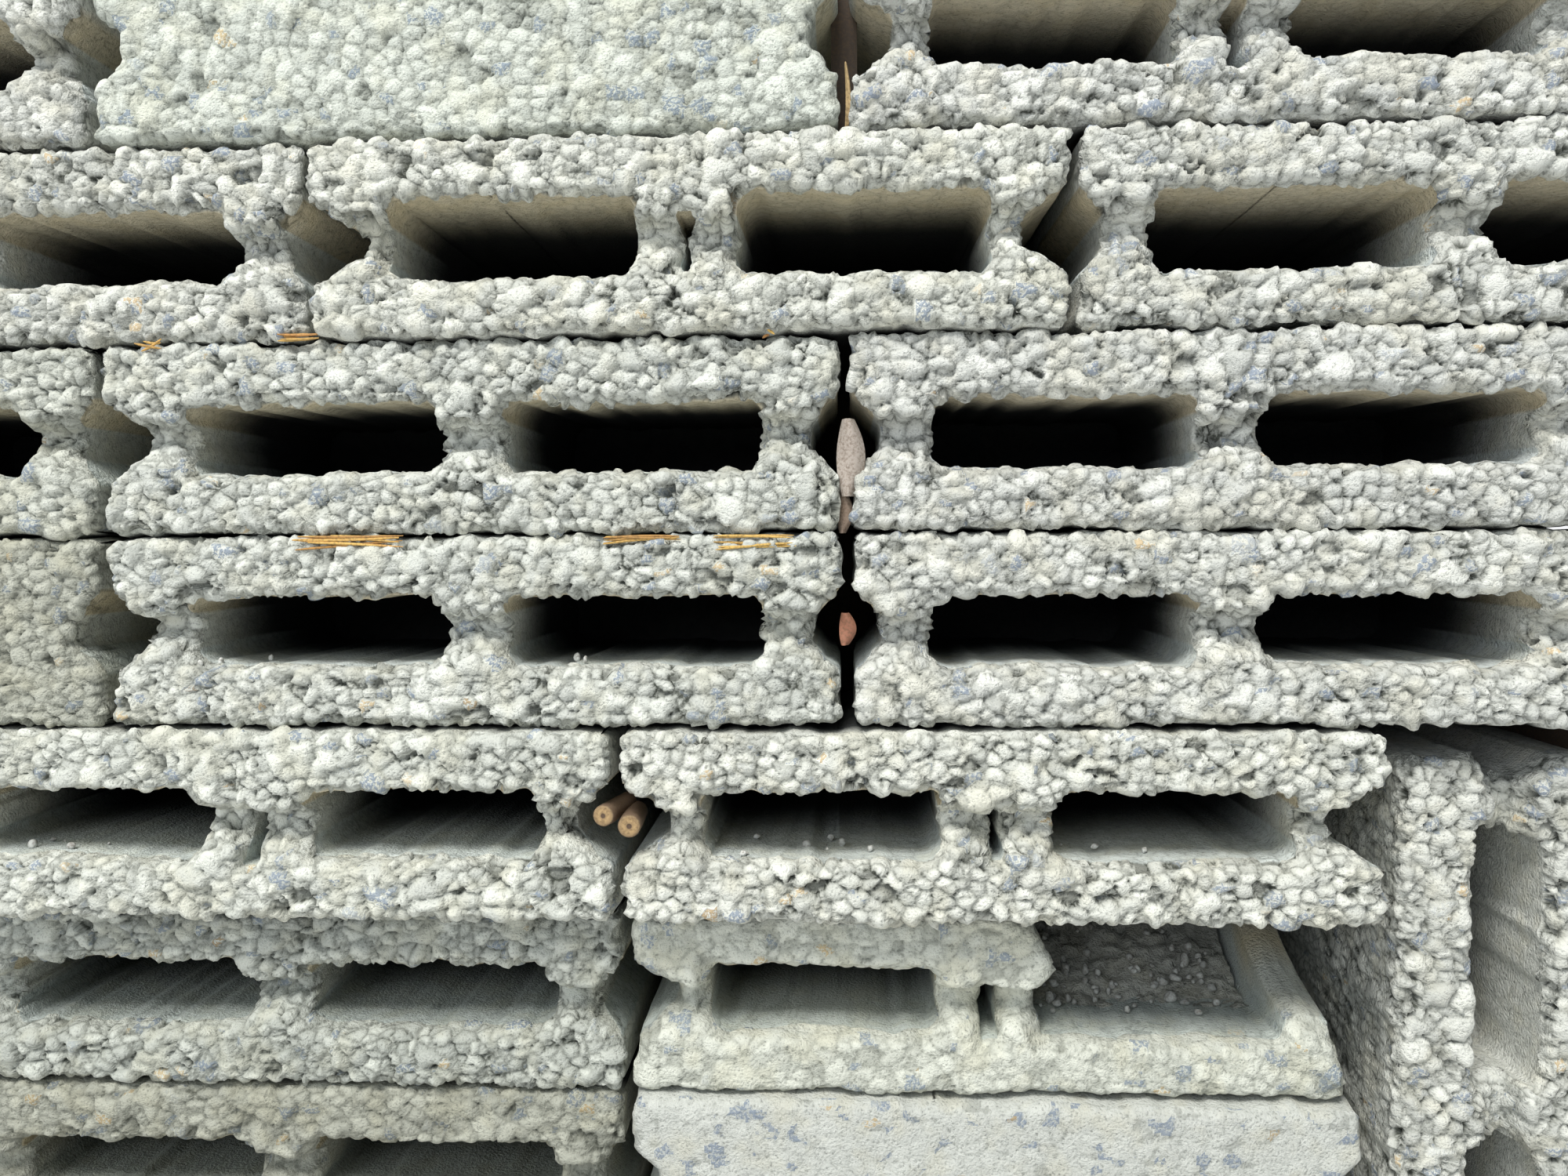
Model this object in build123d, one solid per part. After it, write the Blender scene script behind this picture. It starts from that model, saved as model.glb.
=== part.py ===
from build123d import *
import os

os.makedirs("parts", exist_ok=True)

# Block, as moulded: length along X, thickness along Z, and the cores run along Y.
block_length = 390.0
block_width = 190.0
block_thick = 101.5
end_web = 42.0
plain_web = 35.0
split_web = 58.0
split_slot = 8.0
core_height = 35.5
core_taper = 2.5
core_corner = 5.0
neck_depth = 6.0
neck_mouth = 16.0
neck_floor = 7.0
end_groove_depth = 14.0
split_groove_depth = 22.0
end_groove_floor = 12.0
end_groove_mouth = 42.0
slot_height = 62.0
closed_face = 30.0

# Break in the damaged block: the upper shell is gone over one core, and the end web slopes.
break_inset = 6.0
break_slant = 24.0
break_above_core = 4.5
web_stub = 9.0
web_ledge = 24.0
corner_chip = 12.0
break_reach = 0.72
ledge_reach = 0.32
chip_reach = 0.35

# The blocks that stand on end are a thicker size of the same kind, a little lower than the courses
# beside them.
thick_block = 120.0
end_block_drop = 16.0

# Stack: four layers deep, eight courses high.
layers = 4
layer_gap = 2.0
joint_gap = 4.0
flat_courses = 4
upper_courses = 4
proud_step = 6.0
# The five upper courses stand this far forward of the middle, and the three lower ones as far back.
forward_courses = 5
lean = 10.0

# Left ends of the blocks, measured from the middle of the photographed front.
left_of_lower = -874.0
upper_setback = 120.0
shift_of_second = 115.0
end_block_gap = 16.0

# Pallet, sized to its load
end_margin = 3.0
side_margin = 17.0
board_thick = 22.0
wide_board = 145.0
narrow_board = 100.0
foot_height = 78.0
foot_length = 145.0

# Sizes that follow from those above
deck_z = board_thick * 3.0 + foot_height
layer_step = block_width + layer_gap
stack_depth = layers * block_width + (layers - 1) * layer_gap
stack_front = -stack_depth / 2.0
course_step = block_length + joint_gap
courses = flat_courses + upper_courses
left_of_upper = left_of_lower + upper_setback
second_left = left_of_upper + shift_of_second
upper_right = left_of_upper + 2.0 * course_step + block_length
second_right = upper_right + shift_of_second
end_block_left = left_of_lower + 2.0 * course_step + block_length + end_block_gap
end_block_height = flat_courses * block_thick - end_block_drop
pallet_left = left_of_lower - end_margin
pallet_length = end_block_left + thick_block + end_margin - pallet_left
pallet_width = stack_depth + 2.0 * side_margin
middle_x = (pallet_left + second_right) / 2.0
core_low = (block_thick - core_height) / 2.0
core_high = block_thick - core_low


def course_z(course):
    """Underside of a course. Course 0 is the top one."""
    return deck_z + (courses - 1 - course) * block_thick


def course_front(course):
    """The Y of a course's front face."""
    return stack_front - lean if course < forward_courses else stack_front + lean


def core_outline(x_low, x_high, middle, grow, y):
    """A core's mouth: a long octagon whose ends point into the webs, so that each web has a waist."""
    z_low = middle - core_height / 2.0 - grow
    z_high = middle + core_height / 2.0 + grow
    left = x_low - grow
    right = x_high + grow
    cut = core_corner
    points = [
        (left + cut, z_low),
        (right - cut, z_low),
        (right, z_low + cut),
        (right, z_high - cut),
        (right - cut, z_high),
        (left + cut, z_high),
        (left, z_high - cut),
        (left, z_low + cut),
    ]
    return [Vector(px, y, pz) for px, pz in points]


def flat_face(points):
    return Face(Wire.make_polygon(points, close=True))


def core(x_low, x_high, middle, y_start, y_end, widen):
    """A tapered core with flat sides. It is wider at the end that widen names."""
    grow_start = core_taper if widen == "front" else 0.0
    grow_end = 0.0 if widen == "front" else core_taper
    first = core_outline(x_low, x_high, middle, grow_start, y_start)
    last = core_outline(x_low, x_high, middle, grow_end, y_end)
    faces = [flat_face(first), flat_face(last)]
    for index in range(len(first)):
        after = (index + 1) % len(first)
        faces.append(flat_face([first[index], first[after], last[after], last[index]]))
    return Solid(Shell(faces))


def cross_prism(points, x_low, x_high):
    """A solid of constant section along X. The points are Y and Z."""
    wire = Wire.make_polygon([Vector(x_low, py, pz) for py, pz in points], close=True)
    return extrude(Face(wire), amount=x_high - x_low, dir=(1, 0, 0))


def long_prism(points, y_low, y_high):
    """A solid of constant section along Y. The points are X and Z."""
    wire = Wire.make_polygon([Vector(px, y_low, pz) for px, pz in points], close=True)
    return extrude(Face(wire), amount=y_high - y_low, dir=(0, 1, 0))


def box(x_low, x_high, y_low, y_high, z_low, z_high):
    size = (x_high - x_low, y_high - y_low, z_high - z_low)
    return Pos(x_low, y_low, z_low) * Box(*size, align=(Align.MIN, Align.MIN, Align.MIN))


def centre_web(kind):
    return plain_web if kind in ("plain", "closed") else split_web


def core_spans(kind, length):
    """The X range of each of the two cores."""
    half_web = centre_web(kind) / 2.0
    middle = length / 2.0
    return [(end_web, middle - half_web), (middle + half_web, length - end_web)]


def block(kind, widen="back", necked=True, thick=block_thick, length=block_length):
    """A block that lies flat, with one corner at the origin and its bed face at y = 0."""
    half = thick / 2.0
    mouth = end_groove_mouth / 2.0
    floor = end_groove_floor / 2.0
    depth = split_groove_depth if kind in ("split", "broken") else end_groove_depth
    outline = [
        (0.0, 0.0),
        (length, 0.0),
        (length, half - mouth),
        (length - depth, half - floor),
        (length - depth, half + floor),
        (length, half + mouth),
        (length, thick),
        (0.0, thick),
        (0.0, half + mouth),
        (depth, half + floor),
        (depth, half - floor),
        (0.0, half - mouth),
    ]
    body = long_prism(outline, 0.0, block_width)
    past = 5.0
    for x_low, x_high in core_spans(kind, length):
        if kind == "closed":
            body = body - core(x_low, x_high, half, closed_face, block_width + past, "back")
        else:
            body = body - core(x_low, x_high, half, -past, block_width + past, widen)
    if necked and kind != "closed":
        # The neck is the groove across the webs at half height, for a level reinforcing bar.
        neck = [
            (-1.0, half - neck_mouth / 2.0),
            (0.0, half - neck_mouth / 2.0),
            (neck_depth, half - neck_floor / 2.0),
            (neck_depth, half + neck_floor / 2.0),
            (0.0, half + neck_mouth / 2.0),
            (-1.0, half + neck_mouth / 2.0),
        ]
        reach = core_corner
        spans = core_spans(kind, length)
        body = body - cross_prism(neck, -1.0, spans[0][0] + reach)
        body = body - cross_prism(neck, spans[0][1] - reach, spans[1][0] + reach)
        body = body - cross_prism(neck, spans[1][1] - reach, length + 1.0)
    if kind in ("split", "broken"):
        low = half - slot_height / 2.0
        middle = length / 2.0
        side = split_slot / 2.0
        body = body - box(middle - side, middle + side, -1.0, block_width + 1.0, low, low + slot_height)
    if kind == "broken":
        body = broken_away(body)
    return body


def broken_away(body):
    """Takes off the upper shell over the right core, and breaks the right end web along a slope."""
    edge = block_length / 2.0 + split_web / 2.0 - break_inset
    under = core_high - break_above_core
    past = 1.0
    shell_hole = [
        (edge + 0.6 * break_slant, under),
        (edge + 0.2 * break_slant, under + 0.4 * (block_thick - under)),
        (edge, under + 0.7 * (block_thick - under)),
        (edge - 0.4 * break_slant, block_thick + past),
        (block_length + past, block_thick + past),
        (block_length + past, under),
    ]
    body = body - long_prism(shell_hole, -past, block_width * break_reach)
    web_break = [
        (-past, core_low + web_stub),
        (block_width * ledge_reach, core_low + web_ledge),
        (block_width * break_reach, block_thick + past),
        (-past, block_thick + past),
    ]
    inner = block_length - end_web - core_corner - break_inset
    body = body - cross_prism(web_break, inner, block_length + past)
    corner = [
        (block_length + past, -past),
        (block_length + past, core_low + corner_chip),
        (block_length - corner_chip, core_low + corner_chip),
        (block_length - 0.7 * corner_chip, core_low - corner_chip),
        (block_length - past, -past),
    ]
    body = body - long_prism(corner, -past, block_width * chip_reach)
    return body


def lay(shape, x_left, y_front, z_low):
    return Pos(x_left - middle_x, y_front, z_low) * shape


def stand(shape, x_left, y_front, z_low):
    """Stands a flat block on its end: its length goes up and its thickness along X."""
    turned = Rot(0, -90, 0) * shape
    return Pos(x_left + thick_block - middle_x, y_front, z_low) * turned


plain = block("plain")
plain_turned = block("plain", "front")
split = block("split")
split_turned = block("split", "front")
closed = block("closed")
broken = block("broken")
# The necks of the blocks behind can't be seen, so those blocks have none.
rear = block("plain", "back", False)
rear_closed = block("closed", "back", False)
on_end = block("plain", "back", True, thick_block, end_block_height)
on_end_rear = block("plain", "back", False, thick_block, end_block_height)
on_end_closed = block("closed", "back", False, thick_block, end_block_height)


def save(shape, name):
    export_step(shape, "parts/" + name + ".step")


def upper_lefts(course):
    """Left ends of the three blocks of an upper course."""
    start = second_left if course == 1 else left_of_upper
    return [start + step * course_step for step in range(3)]


def lower_lefts():
    return [left_of_lower + step * course_step for step in range(3)]


# Front layer, block by block: course, place, what its name adds, shape, and how far it stands proud.
courses_by_name = ["top", "second", "third", "fourth", "fifth", "sixth", "seventh", "bottom"]
places = ["left", "middle", "right"]
front = [
    ("top", "left", "", plain, 0.0),
    ("top", "middle", "_closed_face", closed, 0.0),
    ("top", "right", "", split, 0.0),
    ("second", "left", "", plain, 0.0),
    ("second", "middle", "", split_turned, proud_step),
    ("second", "right", "", plain_turned, 0.0),
    ("third", "left", "", plain, 0.0),
    ("third", "middle", "", plain, 0.0),
    ("third", "right", "", plain, 0.0),
    ("fourth", "left", "_closed_face", closed, 0.0),
    ("fourth", "middle", "", plain, 0.0),
    ("fourth", "right", "", plain, 0.0),
    ("fifth", "left", "", plain, 0.0),
    ("fifth", "middle", "", split, proud_step),
    ("fifth", "right", "", split, proud_step),
    ("sixth", "left", "", plain, 0.0),
    ("sixth", "middle", "", plain, 0.0),
    ("sixth", "right", "_broken", broken, 0.0),
    ("seventh", "left", "", plain, 0.0),
    ("seventh", "middle", "", plain, 0.0),
    ("seventh", "right", "_closed_face", closed, proud_step),
    ("bottom", "left", "", plain, 0.0),
    ("bottom", "middle", "", plain, 0.0),
    ("bottom", "right", "", plain, 0.0),
]
for course_name, place_name, suffix, shape, proud in front:
    course = courses_by_name.index(course_name)
    lefts = upper_lefts(course) if course < upper_courses else lower_lefts()
    x_left = lefts[places.index(place_name)]
    node = course_name + "_" + place_name + "_block" + suffix
    save(lay(shape, x_left, course_front(course) - proud, course_z(course)), node)
low_front = course_front(courses - 1)
save(stand(on_end, end_block_left, low_front, deck_z), "block_on_end")

# Behind the front layer, the blocks of a course share a node. They stay apart by the gaps.
# The second layer's blocks have closed faces, so that the front cores end in the dark.
for course in range(courses):
    lefts = upper_lefts(course) if course < upper_courses else lower_lefts()
    solids = []
    for layer in range(1, layers):
        y_front = course_front(course) + layer * layer_step
        shape = rear_closed if layer == 1 else rear
        for place in range(3):
            at_back = layer == layers - 1
            at_side = place == 0 or (place == 2 and course < upper_courses)
            if at_back or at_side or course == 0:
                solids.append(lay(shape, lefts[place], y_front, course_z(course)))
    save(Compound(children=solids), courses_by_name[course] + "_course_rear_blocks")
solids = []
for layer in range(1, layers):
    shape = on_end_closed if layer == 1 else on_end_rear
    solids.append(stand(shape, end_block_left, low_front + layer * layer_step, deck_z))
save(Compound(children=solids), "rear_blocks_on_end")

# One plain core stands in for the blocks that no side shows.
core_solid = None
for course in range(1, courses):
    if course < upper_courses:
        lefts = upper_lefts(course)
        x_low = lefts[1]
        x_high = lefts[1] + block_length
    else:
        lefts = lower_lefts()
        x_low = lefts[1]
        x_high = lefts[2] + block_length
    z_low = course_z(course)
    core_front = course_front(course) + layer_step
    core_back = course_front(course) + (layers - 1) * layer_step - layer_gap
    piece = box(x_low - middle_x, x_high - middle_x, core_front, core_back, z_low, z_low + block_thick)
    core_solid = piece if core_solid is None else core_solid + piece
save(core_solid, "hidden_core")

# Pallet: bottom boards, foot blocks, cross boards and deck boards, from the floor up.
pallet_x = pallet_left - middle_x
half_width = pallet_width / 2.0
foot_z = board_thick
cross_z = foot_z + foot_height
deck_low = cross_z + board_thick
foot_x = [pallet_x, pallet_x + (pallet_length - foot_length) / 2.0, pallet_x + pallet_length - foot_length]
foot_y = [
    (-half_width, -half_width + narrow_board),
    (-wide_board / 2.0, wide_board / 2.0),
    (half_width - narrow_board, half_width),
]
side_names = ["left", "middle", "right"]
row_names = ["front", "middle", "rear"]
for row in range(3):
    y_low, y_high = foot_y[row]
    board = box(pallet_x, pallet_x + pallet_length, y_low, y_high, 0.0, board_thick)
    save(board, "pallet_bottom_board_" + row_names[row])
    for side in range(3):
        x_low = foot_x[side]
        foot = box(x_low, x_low + foot_length, y_low, y_high, foot_z, cross_z)
        save(foot, "pallet_foot_" + row_names[row] + "_" + side_names[side])
for side in range(3):
    x_low = foot_x[side]
    board = box(x_low, x_low + foot_length, -half_width, half_width, cross_z, deck_low)
    save(board, "pallet_cross_board_" + side_names[side])
deck_widths = [wide_board, narrow_board, wide_board, narrow_board, wide_board]
deck_space = (pallet_width - sum(deck_widths)) / 4.0
y_low = -half_width
for number in range(5):
    board = box(pallet_x, pallet_x + pallet_length, y_low, y_low + deck_widths[number], deck_low, deck_z)
    save(board, "pallet_deck_board_" + str(number + 1))
    y_low = y_low + deck_widths[number] + deck_space
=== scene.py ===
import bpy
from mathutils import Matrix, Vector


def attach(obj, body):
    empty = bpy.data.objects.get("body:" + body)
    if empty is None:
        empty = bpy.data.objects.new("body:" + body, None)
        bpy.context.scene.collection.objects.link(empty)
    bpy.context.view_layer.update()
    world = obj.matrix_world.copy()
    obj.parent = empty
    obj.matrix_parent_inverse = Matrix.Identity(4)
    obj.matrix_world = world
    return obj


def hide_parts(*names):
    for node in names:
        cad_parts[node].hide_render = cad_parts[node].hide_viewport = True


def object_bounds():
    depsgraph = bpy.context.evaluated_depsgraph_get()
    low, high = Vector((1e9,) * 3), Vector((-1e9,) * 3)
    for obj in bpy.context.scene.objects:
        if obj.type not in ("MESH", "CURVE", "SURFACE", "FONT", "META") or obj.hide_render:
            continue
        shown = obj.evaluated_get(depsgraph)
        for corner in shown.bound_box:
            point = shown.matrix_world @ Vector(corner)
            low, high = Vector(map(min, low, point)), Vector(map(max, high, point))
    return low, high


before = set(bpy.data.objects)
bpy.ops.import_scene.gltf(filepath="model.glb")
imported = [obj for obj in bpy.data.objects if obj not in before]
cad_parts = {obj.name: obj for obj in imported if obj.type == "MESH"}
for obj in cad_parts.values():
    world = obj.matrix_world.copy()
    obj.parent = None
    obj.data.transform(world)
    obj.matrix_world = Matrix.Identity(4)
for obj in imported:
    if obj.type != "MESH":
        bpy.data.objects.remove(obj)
cad_low, cad_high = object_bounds()
cad_low, cad_high = list(cad_low), list(cad_high)

import math
from collections import namedtuple

import bpy
import numpy as np
from mathutils import Matrix, Vector

MM = 0.001

# Sizes in mm, as in the CAD
LENGTH, WIDTH, THICK, THICK_BLOCK = 390.0, 190.0, 101.5, 120.0
END_WEB, PLAIN_WEB, SPLIT_WEB, SLOT = 42.0, 35.0, 58.0, 8.0
CORE_H, TAPER, CORNER = 35.5, 2.5, 5.0
PLAIN_GROOVE, SPLIT_GROOVE, GROOVE_FLOOR, GROOVE_MOUTH = 14.0, 22.0, 12.0, 42.0
LAYERS, LAYER_GAP, STEP = 4, 2.0, 394.0
LOWER, UPPER, SHIFT, END_LEFT = -874.0, -754.0, 115.0, 320.0
DECK, FORWARD, PROUD = 144.0, 10.0, 6.0

# The stack, with heights from the floor and x from the middle of the photo
COURSES = ["top", "second", "third", "fourth", "fifth", "sixth", "seventh", "bottom"]
PLACES = ["left", "middle", "right"]
UPPER_COURSES, FORWARD_COURSES, SHIFTED_COURSE = 4, 5, 1
STACK_FRONT = -(LAYERS * WIDTH + (LAYERS - 1) * LAYER_GAP) / 2.0
UPPER_FRONT, LOWER_FRONT = STACK_FRONT - FORWARD, STACK_FRONT + FORWARD
PALLET_LEFT = LOWER - 3.0
MIDDLE = (PALLET_LEFT + UPPER + 2 * STEP + LENGTH + SHIFT) / 2.0

# What the photo shows, with a margin: only there the faces get the fine grid
VIEW_LEFT, VIEW_RIGHT, VIEW_LOW, VIEW_HIGH = -437.0, 409.0, 298.0, 924.0
FINE, MEDIUM = ((1.72, 5.5))
BACK_GRID, END_GRID = ((7.0, 9.0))
OPEN_GRID, HIDDEN_GRID = 9.0, 16.0

# Wear, in mm
CORNER_WEAR, FACE_EDGE, REAR_EDGE = 4.5, 4.6, 4.0
EDGE_WEAR, CORE_WEAR, SLOT_WEAR = 1.7, 0.3, 0.8
NECK = 18.0  # stones bulge over the waist of a web and make it look deeper than the CAD's
SLOT_LOW, SLOT_HIGH = 21.0, 12.0  # from the block's middle; stones close the rest of the slot
# the second layer's closed faces are painted dark, as shade
BAY_SHADE_DEPTH = 170.0  # how deep a closed face in the second layer counts, so that it is dark

# Stones to the metre, and how far the layer of big stones is shifted
MID_CELLS, BIG_CELLS, BIG_SHIFT = 128.0, 88.0, (1.3, 0.7, 0.4)
BEVEL = 0.42  # how wide the slope round each stone is, against its cell

# Each kind of wall runs back from the face in rings at these depths
RINGS_SHORT = [2.0, 5.0, 17.0, WIDTH]
RINGS_CORE = [1.5, 4.0, 7.5, 12.0, 18.0, 26.0, 37.0, 52.0, 75.0, 120.0, WIDTH]
RINGS_SIDE = [1.5, 4.0] + list(np.arange(9.0, 184.0, 8.0)) + [WIDTH - 2.5, WIDTH]
RINGS_GRAZED = [1.5, 3.5] + list(np.arange(6.5, 110.0, 4.5)) + [125.0, 150.0, WIDTH]
OUTER_WALLS = ("top", "bottom", "left", "right")
HIDDEN_RINGS = {name: RINGS_SHORT for name in OUTER_WALLS}
FRONT_RINGS = {**HIDDEN_RINGS, "core": RINGS_CORE, "left": RINGS_CORE, "right": RINGS_CORE}
INNER_RINGS = {**HIDDEN_RINGS, "core": [6.0, WIDTH]}
BACK_RINGS = {**HIDDEN_RINGS, "core": RINGS_CORE[::2]}

# Course and place of the blocks whose top or underside shows
OPEN_TOPS = [(0, 0), (0, 1), (0, 2), (1, 2), (2, 0), (4, 0)]
OPEN_UNDERSIDES = [(0, 0), (1, 2)]

# The front blocks that aren't plain. A coarse block shows its stones, and the others a film of cement.
PLAIN_LOOK = {"kind": "plain", "wide_end": "back", "proud": 0.0, "relief": 1.0, "coarse": 1.0}
SPECIAL_BLOCKS = {
    (0, 1): {"kind": "closed", "relief": 0.7, "coarse": 0.8},
    (0, 2): {"kind": "split"},
    (1, 1): {"kind": "split", "wide_end": "front", "proud": PROUD},
    (1, 2): {"wide_end": "front"},
    (3, 0): {"kind": "closed", "relief": 0.9, "coarse": 0.9},
    (4, 1): {"kind": "split", "proud": PROUD},
    (4, 2): {"kind": "split", "proud": PROUD},
    (5, 1): {"relief": 0.95},
    (5, 2): {"kind": "broken", "relief": 0.7, "coarse": 0.5},
    (6, 1): {"relief": 0.7, "coarse": 0.8},
    (6, 2): {"kind": "closed", "proud": PROUD, "relief": 0.6, "coarse": 0.22},
}
NAME_ENDS = {"closed": "_closed_face", "broken": "_broken"}
# Each front block's tone by course and place. The seventh course's middle block, and less so the sixth's,
# are darkened as painted shade under the courses that overhang them.
BLOCK_TONES_AND_SHADE = [
    [(0.97, 0.97, 0.96), (0.96, 0.99, 0.95), (1.0, 1.0, 1.0)],
    [(1.0, 1.0, 0.98), (1.03, 1.03, 1.0), (1.0, 1.0, 0.99)],
    [(0.9, 0.91, 0.87), (0.98, 0.99, 0.97), (1.0, 1.0, 1.0)],
    [(0.70, 0.70, 0.64), (0.99, 1.0, 0.98), (1.02, 1.02, 1.01)],
    [(0.98, 0.98, 0.96), (1.02, 1.03, 1.0), (1.05, 1.05, 1.02)],
    [(0.95, 0.95, 0.93), (0.80, 0.82, 0.79), (0.98, 0.99, 0.93)],
    [(0.92, 0.92, 0.9), (0.62, 0.62, 0.56), (0.88, 0.89, 0.88)],
    [(0.93, 0.93, 0.91), (0.95, 0.95, 0.93), (0.95, 0.96, 0.93)],
]

# Colours of the concrete
CEMENT_DARK, CEMENT_LIGHT, DUSTY = (0.50, 0.515, 0.495), (0.74, 0.755, 0.72), (0.60, 0.585, 0.49)
BLUE_STONE, OCHRE_STONE = (0.20, 0.25, 0.34), (0.52, 0.36, 0.16)
# All but the speck colour are painted shade: round each stone and in its pores, on low stones, in the
# creases, and deep in the cores and joints.
SPECK, SHADE, SUNK_SHADE = (0.22, 0.23, 0.215), (0.20, 0.21, 0.19), (0.13, 0.14, 0.125)
CREASE_SHADE, CORE_SHADE = (0.05, 0.055, 0.045), (0.014, 0.016, 0.018)


def course_front(course):
    return UPPER_FRONT if course < FORWARD_COURSES else LOWER_FRONT


def course_z(course):
    return DECK + (7 - course) * THICK


def block_left(course, spot):
    start = UPPER if course < UPPER_COURSES else LOWER
    return start + (SHIFT if course == SHIFTED_COURSE else 0.0) + spot * STEP


class Noise:
    """Smooth value noise in 2D with a fixed seed."""

    def __init__(self, seed, size=64):
        self.size = size
        self.grid = np.random.default_rng(seed).uniform(-1.0, 1.0, (size, size))

    def at(self, x, y):
        x = np.asarray(x, float)
        y = np.asarray(y, float)
        xi, yi = np.floor(x).astype(int), np.floor(y).astype(int)
        fx, fy = x - xi, y - yi
        fx = fx * fx * (3 - 2 * fx)
        fy = fy * fy * (3 - 2 * fy)
        n = self.size
        low = self.grid[xi % n, yi % n] * (1 - fx) + self.grid[(xi + 1) % n, yi % n] * fx
        high = self.grid[xi % n, (yi + 1) % n] * (1 - fx) + self.grid[(xi + 1) % n, (yi + 1) % n] * fx
        return low * (1 - fy) + high * fy


def polygon_distance(points, polygon):
    """Signed distance from 2D points to a closed polygon: negative inside."""
    p = np.asarray(points, float)
    poly = np.asarray(polygon, float)
    best = np.full(len(p), np.inf)
    inside = np.zeros(len(p), bool)
    tiny = 1e-9
    for a, b in zip(poly, np.roll(poly, -1, axis=0)):
        edge = b - a
        rel = p - a
        t = np.clip((rel @ edge) / max(edge @ edge, tiny), 0, 1)
        gap = rel - t[:, None] * edge
        best = np.minimum(best, np.hypot(gap[:, 0], gap[:, 1]))
        crosses = (a[1] > p[:, 1]) != (b[1] > p[:, 1])
        x_at = a[0] + (p[:, 1] - a[1]) * edge[0] / (edge[1] if abs(edge[1]) > tiny else tiny)
        inside ^= crosses & (p[:, 0] < x_at)
    return np.where(inside, -best, best)


def core_outline(left, right, middle, grow):
    """A core's mouth: a rectangle with small bevels."""
    low, high = middle - CORE_H / 2 - grow, middle + CORE_H / 2 + grow
    left, right = left - grow, right + grow
    lower = [(left, low + CORNER), (left + CORNER, low), (right - CORNER, low), (right, low + CORNER)]
    return lower + [(x, low + high - z) for x, z in reversed(lower)]


def bed_outline(kind, thick):
    """A block's bed face with its grooved ends. The broken block's upper shell is torn off on the right."""
    half, mouth, floor = thick / 2, GROOVE_MOUTH / 2, GROOVE_FLOOR / 2
    groove = SPLIT_GROOVE if kind in ("split", "broken") else PLAIN_GROOVE
    left = [(CORNER_WEAR, 0), (0, CORNER_WEAR), (0, half - mouth), (groove, half - floor)]
    left = [(x, thick - z) for x, z in left] + left[::-1]
    if kind != "broken":
        return left + [(LENGTH - x, thick - z) for x, z in left]
    core_floor = half - CORE_H / 2
    web = LENGTH - END_WEB
    torn = LENGTH / 2 + SPLIT_WEB / 2 - 6
    stub = [(LENGTH - 6, 0), (LENGTH - 9, core_floor - 10), (LENGTH - 14, core_floor + 4)]
    stub += [(LENGTH - 24, core_floor + 10), (web + 3, core_floor + 8), (web, core_floor)]
    edge = [(torn + 6, core_floor), (torn + 4, half - 5), (torn + 2, half + 4)]
    edge += [(torn + 12, core_floor + CORE_H - 1), (torn + 8, thick - 22), (torn + 1, thick - 8)]
    edge += [(torn - 8, thick)]
    return left + stub + edge


class Section:
    """A block's section across its depth, with worn and uneven edges."""

    def __init__(self, kind, wide_end, thick, seed):
        self.kind, self.wide_end, self.thick = kind, wide_end, thick
        self.noise = [Noise(seed), Noise(seed + 101), Noise(seed + 202)]
        self.outer = bed_outline(kind, thick)
        split = kind in ("split", "broken")
        middle, half_web = LENGTH / 2, (SPLIT_WEB if split else PLAIN_WEB) / 2
        spans = [(END_WEB, middle - half_web), (middle + half_web, LENGTH - END_WEB)]
        grow = TAPER if wide_end == "front" else 0.0
        self.cores = [core_outline(a, b, thick / 2, grow) for a, b in spans]
        if kind == "closed":
            self.cores = []
        if kind == "broken":
            self.cores = self.cores[:1]
        self.slots = []
        if split:
            low, high = thick / 2 - SLOT_LOW, thick / 2 + SLOT_HIGH
            left, right = middle - SLOT / 2, middle + SLOT / 2
            self.slots = [[(left, low), (right, low), (right, high), (left, high)]]

    def distance(self, p):
        """Signed distance to the concrete: negative inside it."""
        fine, slow, _ = self.noise
        wobble = 1.7 * fine.at(p[:, 0] / 7.5, p[:, 1] / 7.5) + 1.2 * slow.at(p[:, 0] / 28.0, p[:, 1] / 28.0)
        d = polygon_distance(p, self.outer) + EDGE_WEAR - 0.75 * wobble
        for core in self.cores:
            d = np.maximum(d, -polygon_distance(p, core) + CORE_WEAR - 0.9 * wobble)
        for slot in self.slots:
            d = np.maximum(d, -polygon_distance(p, slot) - SLOT_WEAR + 1.6 * wobble)
        return d

    def slope(self, p, reach=0.25):
        """The direction out of the concrete at each point."""
        gx = self.distance(p + [reach, 0]) - self.distance(p - [reach, 0])
        gy = self.distance(p + [0, reach]) - self.distance(p - [0, reach])
        g = np.stack([gx, gy], 1)
        return g / np.maximum(np.linalg.norm(g, axis=1), 1e-6)[:, None]

    def lower_rim(self, v):
        """Points on or just below the lower rims of the cores."""
        return (v < self.thick / 2 - 6) & (v > self.thick / 2 - CORE_H / 2 - 12)


def view_lines(size, fine_low, fine_high):
    """Grid lines a little past both edges of a block, fine between the two limits."""
    end = size + 1.0
    out = [-1.0]
    while out[-1] < end - 1e-6:
        step = FINE if fine_low - MEDIUM < out[-1] < fine_high else MEDIUM
        out.append(min(out[-1] + step, end))
    if out[-1] - out[-2] < 0.35 * FINE:
        out.pop(-2)
    return np.array(out)


def even_lines(size, step):
    """Grid lines evenly apart, the outer ones just inside the edges so that they settle on the worn rim."""
    return np.linspace(1.0, size - 1.0, int(np.ceil((size - 2.0) / step)) + 1)


def grid_quads(cells):
    """Quads of the marked cells of a grid."""
    i, j = np.nonzero(cells)
    columns = cells.shape[1] + 1
    a = i * columns + j
    return np.stack([a, a + columns, a + columns + 1, a + 1], 1)


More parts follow.
